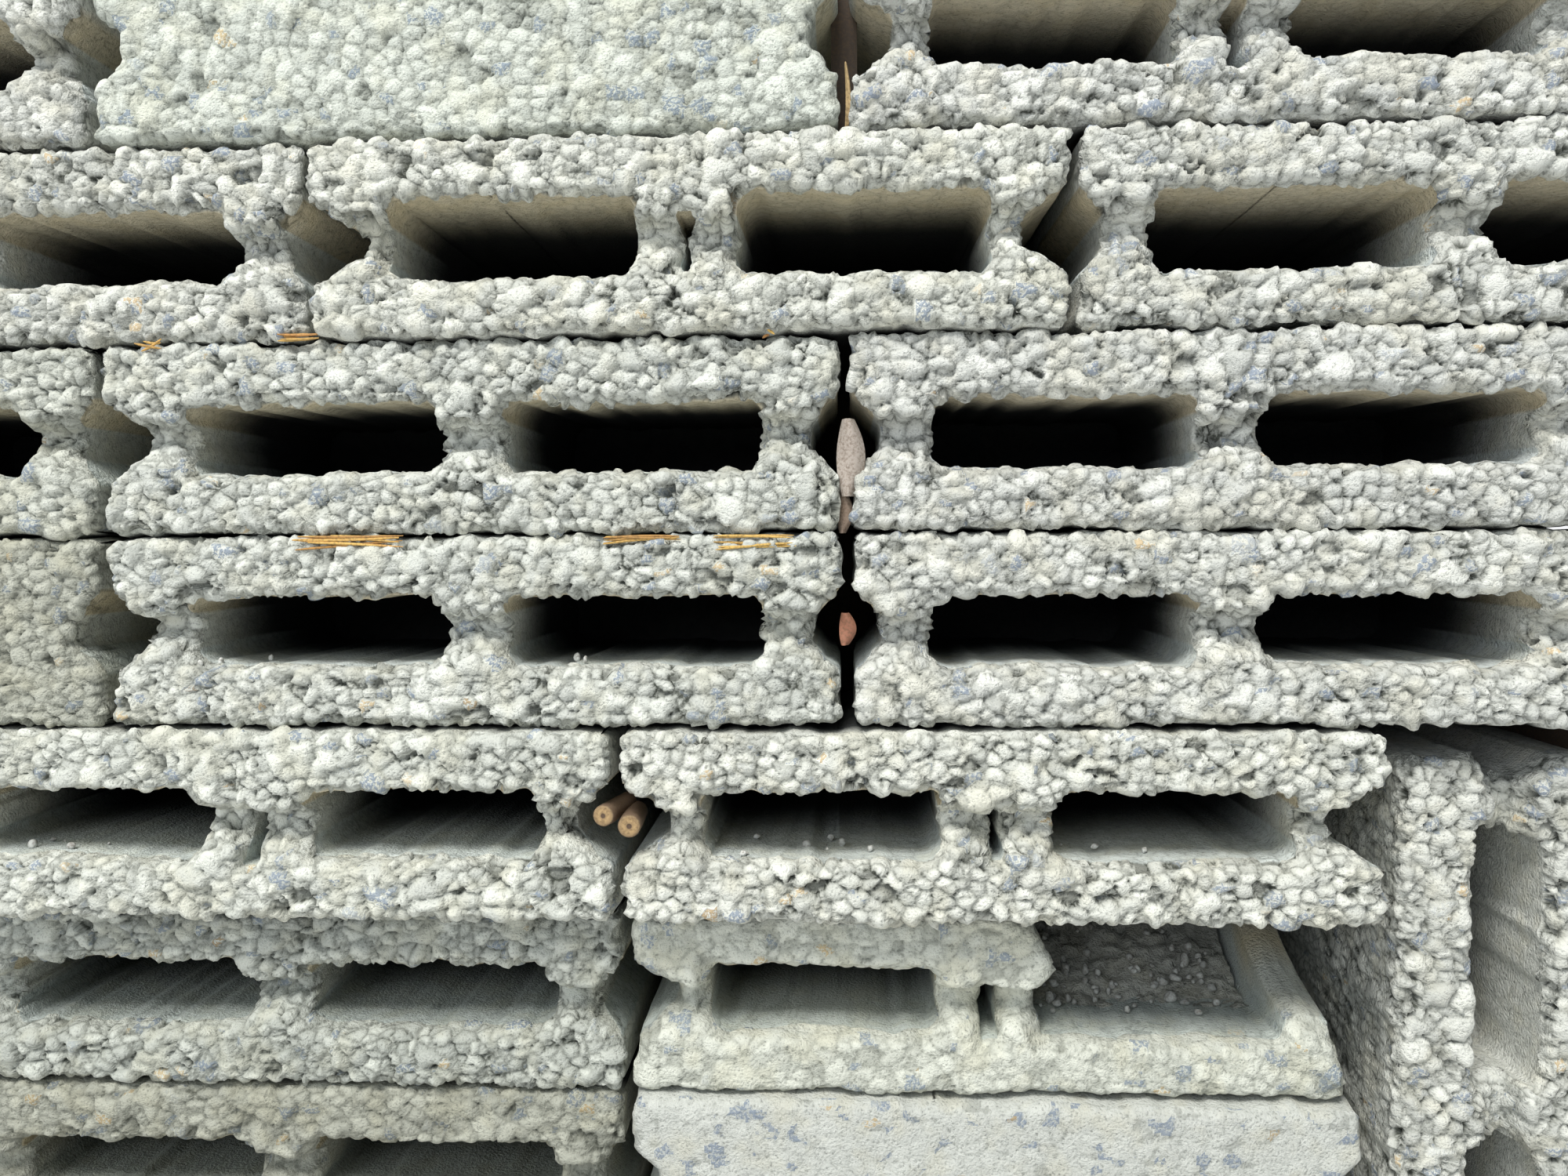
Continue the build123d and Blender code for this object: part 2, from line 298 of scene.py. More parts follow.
def face_grid(section, u_lines, v_lines):
    """A grid fitted to the section: its points, its quads, and the quads' open edges."""
    uu, vv = np.meshgrid(u_lines, v_lines, indexing="ij")
    pts = np.stack([uu.ravel(), vv.ravel()], 1)
    d = section.distance(pts)
    reach = 0.5 * np.minimum(np.gradient(u_lines)[:, None], np.gradient(v_lines)[None, :]).ravel()
    near = np.abs(d) <= reach
    pts[near] -= section.slope(pts[near]) * d[near][:, None]
    keep = (d <= reach).reshape(uu.shape)
    faces = grid_quads(keep[:-1, :-1] & keep[1:, :-1] & keep[1:, 1:] & keep[:-1, 1:])
    edges = np.concatenate([faces[:, [0, 1]], faces[:, [1, 2]], faces[:, [2, 3]], faces[:, [3, 0]]])
    key = edges.min(1) * len(pts) + edges.max(1)
    _, first, count = np.unique(key, return_index=True, return_counts=True)
    rim = edges[first[count == 1]]
    ids = np.unique(rim)
    for _ in range(3):
        off = np.clip(section.distance(pts[ids]), -1.0, 1.0)
        pts[ids] -= section.slope(pts[ids]) * off[:, None]
    return pts, faces, rim


def face_depth(section, pts, edge):
    """How far in each point of the face lies, and how strongly its stones stand out."""
    fine, slow, wear = section.noise
    d = section.distance(pts)
    u, v = pts[:, 0], pts[:, 1]
    middle = section.thick / 2
    hollow = section.kind != "closed"
    # the face turns back towards its rims
    worn = edge * (1.0 + 0.35 * wear.at(u / 16.0, v / 16.0))
    if hollow:
        worn = np.where(np.abs(v - middle) < CORE_H / 2 + 3, worn * 1.5, worn)
        worn = np.where(section.lower_rim(v), worn * 1.6, worn)
    w = np.clip(worn + d, 0, worn) ** 2 / worn
    # the webs have a waist, steeper above than below
    if hollow:
        above = v - middle - 2.0 - 2.5 * wear.at(u / 60.0, 0.0 * u)
        neck = np.where(above > 0, np.clip((9.5 - above) / 8.0, 0, 1), np.clip((19.0 + above) / 17.0, 0, 1))
        neck = neck * neck * (3 - 2 * neck) * NECK
        if section.kind == "broken":
            neck = np.where(u > LENGTH / 2 + 40, 0, neck)
        w = w + neck
    w = w + 0.9 * slow.at(u / 45.0, v / 45.0) + 0.35 * fine.at(u / 14.0 + 9, v / 14.0)
    lip = section.lower_rim(v) & (d > -8) & hollow
    return w, np.where(lip, 0.5 - d * 0.5 / 8, 1.0)


def wall_kinds(section, middles):
    """The wall that starts at each open edge of the face, from the edge's middle."""
    to_outer = np.abs(polygon_distance(middles, section.outer) + EDGE_WEAR)
    to_hole = np.full(len(middles), np.inf)
    for hole in section.cores + section.slots:
        to_hole = np.minimum(to_hole, np.abs(polygon_distance(middles, hole)))
    u, v = middles[:, 0], middles[:, 1]
    kinds = np.full(len(middles), "top", dtype=object)
    kinds[v < 3.5] = "bottom"
    at_side = (v >= 3.5) & (v <= section.thick - 3.5)
    kinds[at_side & (u < LENGTH / 2)] = "left"
    kinds[at_side & (u >= LENGTH / 2)] = "right"
    kinds[to_hole < to_outer] = "core"
    return kinds


def depth_share(name, rings):
    """How fast a wall takes the painted shade inwards: at once in a bed joint, hardly at all where it is an
    outer side.
    """
    if name == "core":
        return 1.0
    if rings in (RINGS_SIDE, RINGS_GRAZED):
        return 0.02
    return 8.0 if name in ("top", "bottom") else 0.35


def wall_ring(section, name, base, normal, depth, in_joint):
    """The rim's points moved to one depth in a wall."""
    fine = section.noise[0]
    p = base.copy()
    if name == "core":
        sign = 1.0 if section.wide_end == "back" else -1.0
        p = p - normal * (sign * TAPER * (depth / WIDTH))[:, None]
        wave = 0.35 * fine.at(depth / 11.0, (p[:, 0] + p[:, 1]) / 13.0)
        p = p + normal * wave[:, None]
    else:
        wave = 0.4 * fine.at(depth / 12.0, (p[:, 0] + p[:, 1]) / 15.0) * np.clip(depth / 8.0, 0, 1)
        left_over = np.minimum(WIDTH - depth, 3.0)
        tuck = 3.0 - np.sqrt(np.maximum(9.0 - (3.0 - left_over) ** 2, 0))
        closing = 1.6 * np.clip((depth - 5.0) / 12.0, 0, 1) if in_joint else 0.0
        p = p + normal * (wave - tuck + closing)[:, None]
    if section.kind == "broken" and name != "core":
        # the stub of the end web rises towards the back
        stub = (base[:, 0] > LENGTH - END_WEB - 2) & (base[:, 1] > section.thick / 2 - CORE_H / 2 + 3)
        rise = np.where(depth < 61, depth / 61 * 15, 15 + (depth - 61) / 76 * 44)
        p[:, 1] = np.where(stub, np.minimum(p[:, 1] + rise, section.thick - 1), p[:, 1])
    return np.column_stack([p, depth])


def block_mesh(section, u_lines, v_lines, rings, relief=1.0, edge=FACE_EDGE):
    """A worn block: points (along, across, inwards), quads, and the points' depth and relief."""
    pts, faces, rim = face_grid(section, u_lines, v_lines)
    w, stand_out = face_depth(section, pts, edge)
    used = np.unique(faces)
    remap = np.full(len(pts), -1)
    remap[used] = np.arange(len(used))
    verts, quads = [np.column_stack([pts[used], w[used]])], [remap[faces]]
    depths, reliefs = [np.zeros(len(used))], [stand_out[used]]
    total = len(used)
    kinds = wall_kinds(section, (pts[rim[:, 0]] + pts[rim[:, 1]]) / 2)
    for name in ("core",) + OUTER_WALLS:
        edges = rim[kinds == name]
        if not len(edges):
            continue
        ids = np.unique(edges)
        spot_of = np.full(len(pts), -1)
        spot_of[ids] = np.arange(len(ids))
        a, b = spot_of[edges[:, 0]], spot_of[edges[:, 1]]
        share = depth_share(name, rings[name])
        normal = section.slope(pts[ids])
        previous = remap[ids]
        for ring in rings[name]:
            depth = np.minimum(np.maximum(ring, w[ids] + 0.6 * ring), WIDTH)
            verts.append(wall_ring(section, name, pts[ids], normal, depth, share > 1))
            depths.append(depth * share)
            fade, least = (24.0, 0.4) if share < 0.1 else (9.0, 0.05)
            reliefs.append(np.clip(1.0 - depth / fade, least, 1.0))
            now = total + np.arange(len(ids))
            total += len(ids)
            quads.append(np.stack([previous[b], previous[a], now[a], now[b]], 1))
            previous = now
    verts, quads, depths, reliefs = [np.concatenate(rows) for rows in (verts, quads, depths, reliefs)]
    return verts, quads, depths, reliefs * relief


class Nodes:
    """Adds nodes to a tree. An input is linked where it gets another node's output, and set otherwise."""

    def __init__(self, tree):
        self.tree = tree

    def put(self, value, socket):
        if isinstance(value, bpy.types.NodeSocket):
            self.tree.links.new(value, socket)
        else:
            socket.default_value = value

    def new(self, kind, inputs, **settings):
        node = self.tree.nodes.new(kind)
        for key, value in settings.items():
            setattr(node, key, value)
        for key, value in inputs.items():
            self.put(value, node.inputs[key])
        return node

    def math(self, operation, *values, clamp=False):
        node = self.new("ShaderNodeMath", dict(enumerate(values)), operation=operation, use_clamp=clamp)
        return node.outputs[0]

    def times(self, *values):
        product = values[0]
        for value in values[1:]:
            product = self.math("MULTIPLY", product, value)
        return product

    def times_add(self, a, b, c):
        return self.math("MULTIPLY_ADD", a, b, c)

    def plus(self, a, b):
        return self.math("ADD", a, b)

    def minus(self, a, b):
        return self.math("SUBTRACT", a, b)

    def vector(self, operation, a, b):
        node = self.new("ShaderNodeVectorMath", {0: a, 1: b}, operation=operation)
        return node.outputs["Value" if operation == "DOT_PRODUCT" else "Vector"]

    def scaled(self, vector, scale):
        node = self.new("ShaderNodeVectorMath", {0: vector, "Scale": scale}, operation="SCALE")
        return node.outputs["Vector"]

    def split(self, vector):
        return self.new("ShaderNodeSeparateXYZ", {0: vector}).outputs

    def ramp(self, value, low, high, out_low=0.0, out_high=1.0):
        inputs = {0: value, 1: low, 2: high, 3: out_low, 4: out_high}
        return self.new("ShaderNodeMapRange", inputs, interpolation_type="SMOOTHSTEP").outputs[0]

    def noise(self, point, scale, detail, rough, output=0):
        inputs = {"Vector": point, "Scale": scale, "Detail": detail, "Roughness": rough}
        return self.new("ShaderNodeTexNoise", inputs).outputs[output]

    def cells(self, point, scale, feature="F1"):
        return self.new("ShaderNodeTexVoronoi", {"Vector": point, "Scale": scale}, feature=feature).outputs

    def cell_edge(self, point, scale):
        return self.cells(point, scale, "DISTANCE_TO_EDGE")["Distance"]

    def mix_number(self, factor, a, b):
        settings = {"data_type": "FLOAT", "clamp_factor": True}
        return self.new("ShaderNodeMix", {0: factor, 2: a, 3: b}, **settings).outputs[0]

    def mix(self, factor, a, b, blend="MIX"):
        a, b = [(*value, 1.0) if isinstance(value, tuple) else value for value in (a, b)]
        settings = {"data_type": "RGBA", "blend_type": blend, "clamp_factor": True}
        return self.new("ShaderNodeMix", {0: factor, 6: a, 7: b}, **settings).outputs[2]

    def attribute(self, name, output="Fac"):
        return self.new("ShaderNodeAttribute", {}, attribute_name=name).outputs[output]


def stones(n, point, scale, rise, lift, tilt):
    """A layer of packed stones: pillows with a crease round each, raised and tilted at random."""
    cell = n.cells(point, scale)
    inward = n.math("SUBTRACT", 1.0, n.math("DIVIDE", n.cell_edge(point, scale), BEVEL), clamp=True)
    pillow = n.math("SQRT", n.math("SUBTRACT", 1.0, n.times(inward, inward), clamp=True))
    numbers = n.split(cell["Color"])
    away = n.vector("SUBTRACT", point, cell["Position"])
    lean = n.vector("SUBTRACT", cell["Color"], (0.5, 0.5, 0.5))
    slant = n.times(n.vector("DOT_PRODUCT", away, lean), tilt / MM)
    raised = n.times_add(numbers[0], 2.0 * lift, -lift)
    return n.times_add(pillow, rise, n.plus(raised, slant)), numbers


def pebble_field(n, point, coarse, wall):
    """The height of the stone at a point in mm over the face, and what its colours need to know."""
    warp = n.vector("SUBTRACT", n.noise(point, 170.0, 3.0, 0.6, output=1), (0.5, 0.5, 0.5))
    bend = 4.5 * MM
    bent = n.vector("ADD", point, n.scaled(warp, n.times_add(wall, -bend, bend)))
    bent = n.vector("MULTIPLY", bent, (0.90, 1.0, 1.14))
    mid, mid_numbers = stones(n, bent, MID_CELLS, 3.9, 1.0, 0.55)
    missing = n.ramp(mid_numbers[0], 0.035, 0.07, 1.0, 0.0)
    mid = n.times_add(missing, -2.4, mid)
    big, big_numbers = stones(n, n.vector("ADD", bent, BIG_SHIFT), BIG_CELLS, 5.2, 0.0, 0.42)
    big = n.plus(big, n.ramp(big_numbers[0], 0.74, 0.77, -9.0, 0.2))
    is_big = n.math("GREATER_THAN", big, mid)
    uneven = n.times_add(n.noise(point, 42.0, 1.0, 0.5), 3.0, -4.6)
    uneven = n.times_add(n.noise(point, 520.0, 3.0, 0.6), 1.2, uneven)
    pebbled = n.plus(n.math("MAXIMUM", big, mid), uneven)
    film = n.times(n.minus(n.noise(point, 210.0, 4.0, 0.62), 0.5), 2.4)
    return {
        "height": n.mix_number(coarse, film, pebbled),
        "tint": n.mix_number(is_big, mid_numbers[1], big_numbers[1]),
        "odd": n.mix_number(is_big, mid_numbers[2], big_numbers[2]),
        "cells": bent,
        "big": is_big,
        "hole": n.times(n.minus(1.0, is_big), missing),
    }


def relief_tree():
    """Geometry nodes: raise the stones along the normals, and keep each point's stone for the colours."""
    tree = bpy.data.node_groups.new("PebbleRelief", "GeometryNodeTree")
    tree.interface.new_socket("Geometry", in_out="INPUT", socket_type="NodeSocketGeometry")
    tree.interface.new_socket("Geometry", in_out="OUTPUT", socket_type="NodeSocketGeometry")
    n = Nodes(tree)

    def named(name, kind="FLOAT"):
        return n.new("GeometryNodeInputNamedAttribute", {"Name": name}, data_type=kind).outputs[0]

    def store(geometry, name, value, kind="FLOAT"):
        inputs = {"Geometry": geometry, "Name": name, "Value": value}
        return n.new("GeometryNodeStoreNamedAttribute", inputs, data_type=kind, domain="POINT").outputs[0]

    wall = n.ramp(named("depth"), 3.0, 14.0)
    found = pebble_field(n, named("rest_p", "FLOAT_VECTOR"), named("coarse"), wall)
    stone = {0: found["height"], 1: found["tint"], 2: found["odd"]}
    packed = n.new("ShaderNodeCombineXYZ", stone).outputs[0]
    geometry = store(tree.nodes.new("NodeGroupInput").outputs[0], "stone", packed, "FLOAT_VECTOR")
    geometry = store(geometry, "cells", found["cells"], "FLOAT_VECTOR")
    for name in ("big", "hole"):
        geometry = store(geometry, name, found[name])
    amount = n.times(n.split(named("stone", "FLOAT_VECTOR"))[0], named("relief"), MM)
    offset = n.scaled(tree.nodes.new("GeometryNodeInputNormal").outputs[0], amount)
    moved = n.new("GeometryNodeSetPosition", {"Geometry": geometry, "Offset": offset})
    tree.links.new(moved.outputs[0], tree.nodes.new("NodeGroupOutput").inputs[0])
    return tree


def new_material(name, roughness, specular=0.5):
    """A material with its roughness set, and its nodes."""
    material = bpy.data.materials.new(name)
    material.use_nodes = True
    bsdf = material.node_tree.nodes["Principled BSDF"]
    bsdf.inputs["Roughness"].default_value = roughness
    bsdf.inputs["Specular IOR Level"].default_value = specular
    return material, Nodes(material.node_tree)


def set_surface(n, colour, height, bump_mm):
    """Links a colour and a bump to the material's surface."""
    bsdf = n.tree.nodes["Principled BSDF"]
    bump = n.new("ShaderNodeBump", {"Distance": bump_mm * MM, "Height": height})
    n.put(colour, bsdf.inputs["Base Color"])
    n.put(bump.outputs[0], bsdf.inputs["Normal"])


def crease_distance(n):
    """How far in mm a point of the surface is from the crease round its stone."""
    cells = n.attribute("cells", "Vector")
    is_big = n.math("GREATER_THAN", n.attribute("big"), 0.5)
    small = n.scaled(cells, MID_CELLS)
    large = n.scaled(n.vector("ADD", cells, BIG_SHIFT), BIG_CELLS)
    own = n.vector("ADD", small, n.scaled(n.vector("SUBTRACT", large, small), is_big))
    mid_size, big_size = 1.0 / MID_CELLS / MM, 1.0 / BIG_CELLS / MM
    return n.times(n.cell_edge(own, 1.0), n.times_add(is_big, big_size - mid_size, mid_size))


def concrete_material():
    """Stones under a thin film of cement, with painted shade in the creases, in the hollows and on low
    stones, and painted shade that darkens the cores inwards.
    """
    material, n = new_material("pebbled_concrete", 0.93, 0.2)
    point = n.attribute("rest_p", "Vector")
    height, tint, odd = n.split(n.attribute("stone", "Vector"))
    hole, coarse, depth = n.attribute("hole"), n.attribute("coarse"), n.attribute("depth")
    open_face = n.ramp(depth, 3.0, 14.0, 1.0, 0.0)
    smooth = n.math("SUBTRACT", 1.0, coarse, clamp=True)
    patch = n.noise(point, 46.0, 2.0, 0.6)
    grain = n.noise(point, 620.0, 2.0, 0.62)
    # each stone has its own grey
    own = n.times(open_face, n.math("MAXIMUM", coarse, 0.25))
    base = n.mix(n.times_add(n.minus(tint, 0.5), own, 0.5), CEMENT_DARK, CEMENT_LIGHT)
    base = n.mix(n.ramp(patch, 0.45, 0.68, 0.0, 0.5), base, DUSTY)
    # where the film of cement is worn off, blue-grey and ochre stones show
    worn = n.times(n.ramp(grain, 0.40, 0.54), open_face)
    bare = n.math("MAXIMUM", worn, n.times(smooth, open_face, 0.4))
    bluish = n.ramp(n.times_add(smooth, 0.04, odd), 0.90, 0.93)
    base = n.mix(n.times(bluish, bare, 0.8), base, BLUE_STONE)
    base = n.mix(n.times(n.ramp(tint, 0.984, 0.99), worn, 0.7), base, OCHRE_STONE)
    base = n.mix(n.ramp(grain, 0.29, 0.44, 0.6, 0.0), base, SPECK)
    # painted shade rounds each stone off towards its crease, and the painted crease shade is broken up by
    # grain and patches
    gap = crease_distance(n)
    darker = n.times(n.ramp(gap, 0.0, 2.4, 0.42, 0.0), coarse, n.ramp(depth, 1.0, 12.0, 1.0, 0.45))
    base = n.mix(darker, base, SHADE)
    gap = n.times_add(n.minus(grain, 0.5), 3.0, gap)
    gap = n.times_add(n.minus(patch, 0.42), 2.0, gap)
    crease = n.times(n.ramp(gap, 0.0, 0.95, 1.0, 0.0), n.ramp(depth, 1.0, 12.0, 1.0, 0.32))
    # painted shade also fills the hollows where stones are missing
    crease = n.math("MAXIMUM", crease, n.times(hole, open_face, 0.6))
    # painted shade on low stones, with darker painted shade in their creases; high stones stay light, as if
    # they caught the light
    low = n.ramp(height, -3.4, -0.4, 1.0, 0.0)
    base = n.mix(n.times(low, open_face, coarse, 0.42), base, SUNK_SHADE)
    base = n.mix(n.times(crease, coarse, n.times_add(low, 0.62, 0.28)), base, CREASE_SHADE)
    # painted shade in the pores of the smooth faces
    pore = n.times(n.ramp(height, -0.7, -0.3, 1.0, 0.0), smooth, 0.5)
    base = n.mix(pore, base, SHADE)
    # each block's tone, which carries painted shade on the overhung blocks and painted bounce light and
    # skylight in the cores
    base = n.mix(1.0, base, n.attribute("tone", "Color"), "MULTIPLY")
    # painted shade, darker deeper in the cores and joints
    base = n.mix(n.ramp(depth, 30.0, 150.0, 0.0, 0.97), base, CORE_SHADE)
    set_surface(n, base, grain, 1.4)
    return material


def timber_material():
    """Sawn softwood, greyed and dusty, with knots and darker cut ends."""
    material, n = new_material("weathered_timber", 0.88, 0.25)
    point = n.attribute("grain", "Vector")
    bend = n.scaled((0.0, 1.0, 1.0), n.noise(point, 5.0, 2.0, 0.5))
    streak = n.noise(n.vector("ADD", n.vector("MULTIPLY", point, (1.0, 12.0, 12.0)), bend), 9.0, 5.0, 0.65)
    fine = n.noise(n.vector("MULTIPLY", point, (1.0, 30.0, 30.0)), 26.0, 3.0, 0.6)
    knot = n.cells(n.vector("MULTIPLY", point, (1.0, 2.6, 2.6)), 4.6)["Distance"]
    base = n.mix(n.ramp(streak, 0.32, 0.68), (0.21, 0.145, 0.085), (0.46, 0.345, 0.215))
    base = n.mix(n.ramp(fine, 0.30, 0.50, 0.55, 0.0), base, (0.15, 0.11, 0.075))
    base = n.mix(n.ramp(n.noise(point, 6.0, 3.0, 0.6), 0.40, 0.66, 0.15, 0.75), base, (0.36, 0.345, 0.315))
    base = n.mix(n.ramp(knot, 0.045, 0.085, 0.85, 0.0), base, (0.10, 0.06, 0.035))
    base = n.mix(n.times(n.attribute("cut_end"), 0.45), base, (0.16, 0.125, 0.09))
    base = n.mix(n.ramp(n.noise(point, 30.0, 4.0, 0.7), 0.56, 0.70, 0.0, 0.5), base, (0.50, 0.50, 0.47))
    set_surface(n, base, n.times_add(fine, 0.5, streak), 1.2)
    return material


def litter_material():
    """Dry plant matter and crumbs in their own tone, with dark specks."""
    material, n = new_material("litter", 0.75)
    speck = n.noise(n.attribute("grain", "Vector"), 700.0, 3.0, 0.6)
    base = n.mix(n.ramp(speck, 0.3, 0.6, 0.55, 0.0), n.attribute("tone", "Color"), (0.10, 0.06, 0.03))
    set_surface(n, base, speck, 0.3)
    return material


def hidden_shade_material():
    """The stack's hidden concrete core, painted nearly black as the shade deep inside the stack."""
    material, n = new_material("hidden_core_shade", 0.95)
    coord = n.new("ShaderNodeTexCoord", {}).outputs["Object"]
    value = n.noise(coord, 150.0, 4.0, 0.6)
    set_surface(n, n.mix(value, (0.010, 0.010, 0.011), (0.035, 0.037, 0.038)), value, 1.0)
    return material


RELIEF = relief_tree()
CONCRETE, TIMBER, LITTER = concrete_material(), timber_material(), litter_material()
ATTRIBUTES = {1: ("FLOAT", "value"), 3: ("FLOAT_VECTOR", "vector"), 4: ("FLOAT_COLOR", "color")}


def add_piece(name, mesh, values, material, nodes):
    """One object from a mesh, with its point attributes, slot, and the CAD nodes that it replaces."""
    mesh.validate()
    mesh.polygons.foreach_set("use_smooth", np.ones(len(mesh.polygons), bool))
    for key, data in values.items():
        data = np.asarray(data, np.float32)
        kind, field = ATTRIBUTES[1 if data.ndim == 1 else data.shape[1]]
        mesh.attributes.new(key, kind, "POINT").data.foreach_set(field, data.ravel())
    obj = bpy.data.objects.new(name, mesh)
    bpy.context.scene.collection.objects.link(obj)
    mesh.materials.append(material)
    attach(obj, "root")
    if nodes:
        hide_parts(*nodes)
    return obj


# Points and quads in mm in the stack's frame, what each point needs for its looks, and a seed for its stones
Part = namedtuple("Part", "points quads depth relief coarse tone seed")


def concrete_piece(name, parts, nodes):
    """One object of pebbled concrete from its parts."""
    mesh = bpy.data.meshes.new(name)
    points = np.concatenate([part.points for part in parts]) * MM
    starts = np.cumsum([0] + [len(part.points) for part in parts])
    quads = np.concatenate([part.quads + start for part, start in zip(parts, starts)])
    mesh.vertices.add(len(points))
    mesh.vertices.foreach_set("co", points.astype(np.float32).ravel())
    mesh.loops.add(quads.size)
    mesh.loops.foreach_set("vertex_index", quads.astype(np.int32).ravel())
    mesh.polygons.add(len(quads))
    mesh.polygons.foreach_set("loop_start", (np.arange(len(quads)) * 4).astype(np.int32))
    mesh.update(calc_edges=True)
    tones, places = [], []
    for part in parts:
        colour = np.ones((len(part.points), 4))
        colour[:, :3] = part.tone
        tones.append(colour)
        places.append(part.points * MM + np.random.default_rng(part.seed).uniform(0, 3.0, 3))
    values = {key: np.concatenate([getattr(part, key) for part in parts]) for key in ("depth", "relief")}
    values["coarse"] = np.concatenate([np.full(len(part.points), part.coarse) for part in parts])
    values["tone"], values["rest_p"] = np.concatenate(tones), np.concatenate(places)
    obj = add_piece(name, mesh, values, CONCRETE, nodes)
    obj.modifiers.new("relief", "NODES").node_group = RELIEF


def place_block(uvw, x_left, y_front, z_low, on_end=False, from_back=False):
    """Block coordinates to the stack's frame, in mm."""
    u, v, w = uvw[:, 0], uvw[:, 1], uvw[:, 2]
    y = y_front + (WIDTH - w if from_back else w)
    if on_end:
        return np.column_stack([x_left + v - MIDDLE, y, z_low + u])
    return np.column_stack([x_left + u - MIDDLE, y, z_low + v])


def core_painted_light(uvw, depth, tone):
    """Painted light in the cores: painted bounce light tints the ceilings brown and painted skylight tints
    the floors blue, and the painted shade comes on sooner on the ceilings and sides.
    """
    height = uvw[:, 1] - THICK / 2
    inside = (depth > 1.0) & (np.abs(height) < CORE_H / 2 + 5)
    ceiling, floor = inside & (height > 9), inside & (height < -9)
    out = np.tile(np.array(tone), (len(uvw), 1))
    out[ceiling] *= (0.95, 0.83, 0.66)
    out[floor] *= (0.93, 0.985, 1.04)
    depth = np.where(ceiling, depth * 1.6, depth)
    return out, np.where(inside & (np.abs(height) <= 9), depth * 1.35, depth)


def open_walls(rings, **is_open):
    """The walls' rings, with those of an outer side for each wall that shows."""
    return {name: RINGS_SIDE if is_open.get(name) else own for name, own in rings.items()}


def front_block(course, spot):
    """A block of the front layer, which the photo shows."""
    look = {**PLAIN_LOOK, **SPECIAL_BLOCKS.get((course, spot), {})}
    kind = look["kind"]
    x_left, z_low = block_left(course, spot), course_z(course)
    if z_low + THICK > VIEW_LOW and x_left + LENGTH > VIEW_LEFT:
        u_lines = view_lines(LENGTH, VIEW_LEFT - x_left, VIEW_RIGHT - x_left)
        v_lines = view_lines(THICK, VIEW_LOW - z_low, VIEW_HIGH - z_low)
    else:
        u_lines, v_lines = even_lines(LENGTH, MEDIUM), even_lines(THICK, MEDIUM)
    rings = open_walls(
        FRONT_RINGS,
        left=spot == 0,
        right=spot == 2 and course < UPPER_COURSES,
        top=(course, spot) in OPEN_TOPS,
        bottom=(course, spot) in OPEN_UNDERSIDES,
    )
    number = course * len(PLACES) + spot
    section = Section(kind, look["wide_end"], THICK, 11 + number)
    uvw, quads, depth, relief = block_mesh(section, u_lines, v_lines, rings, look["relief"])
    if kind == "closed":
        depth = depth * 0.6
    # painted bounce light and skylight in the cores, on top of the block's tone
    tone, depth = core_painted_light(uvw, depth, BLOCK_TONES_AND_SHADE[course][spot])
    points = place_block(uvw, x_left, course_front(course) - look["proud"], z_low)
    name = COURSES[course] + "_" + PLACES[spot] + "_block" + NAME_ENDS.get(kind, "")
    part = Part(points, quads, depth, relief, look["coarse"], tone, 300 + number)
    concrete_piece(name + "_body", [part], [name])


def front_block_on_end():
    """The block that stands on its end at the lower right."""
    u_lines = view_lines(LENGTH, VIEW_LOW - DECK, LENGTH)
    v_lines = view_lines(THICK_BLOCK, 0, VIEW_RIGHT - END_LEFT)
    rings = open_walls({**FRONT_RINGS, "bottom": RINGS_GRAZED}, top=True)
    section = Section("plain", "back", THICK_BLOCK, 77)
    uvw, quads, depth, relief = block_mesh(section, u_lines, v_lines, rings)
    points = place_block(uvw, END_LEFT, LOWER_FRONT, DECK, on_end=True)
    part = Part(points, quads[:, ::-1], depth, relief, 1.0, (0.99, 0.99, 0.97), 377)
    concrete_piece("block_on_end_body", [part], ["block_on_end"])


def rear_mesh(layer, thick, u_lines, v_lines, rings, seed):
    """A block behind the front layer. In the second layer its face is closed and painted dark as shade."""
    section = Section("closed" if layer == 1 else "plain", "back", thick, seed)
    uvw, quads, depth, relief = block_mesh(section, u_lines, v_lines, rings, 1.0, REAR_EDGE)
    if layer == 1:
        # the closed face takes the full painted shade
        depth = np.where(depth == 0, BAY_SHADE_DEPTH, depth)
    return uvw, quads, depth, relief


def rear_block(course, layer, spot):
    at_back = layer == LAYERS - 1
    open_top, open_low = (course, spot) in OPEN_TOPS, (course, spot) in OPEN_UNDERSIDES
    rings = BACK_RINGS if at_back else INNER_RINGS
    rings = open_walls(rings, top=open_top, bottom=open_low, left=spot == 0, right=spot == 2)
    if at_back:
        u_lines, v_lines = even_lines(LENGTH, BACK_GRID), even_lines(THICK, BACK_GRID)
    else:
        u_lines = even_lines(LENGTH, OPEN_GRID if open_top or open_low else HIDDEN_GRID)
        v_lines = even_lines(THICK, END_GRID)
    seed = 900 + course * 17 + layer * 5 + spot
    uvw, quads, depth, relief = rear_mesh(layer, THICK, u_lines, v_lines, rings, seed)
    if at_back:
        quads = quads[:, ::-1]
    y_front = course_front(course) + layer * (WIDTH + LAYER_GAP)
    points = place_block(uvw, block_left(course, spot), y_front, course_z(course), from_back=at_back)
    value = 0.93 + 0.1 * np.random.default_rng(seed).random()
    return Part(points, quads, depth, relief, 1.0, (value, value, value * 0.98), seed)


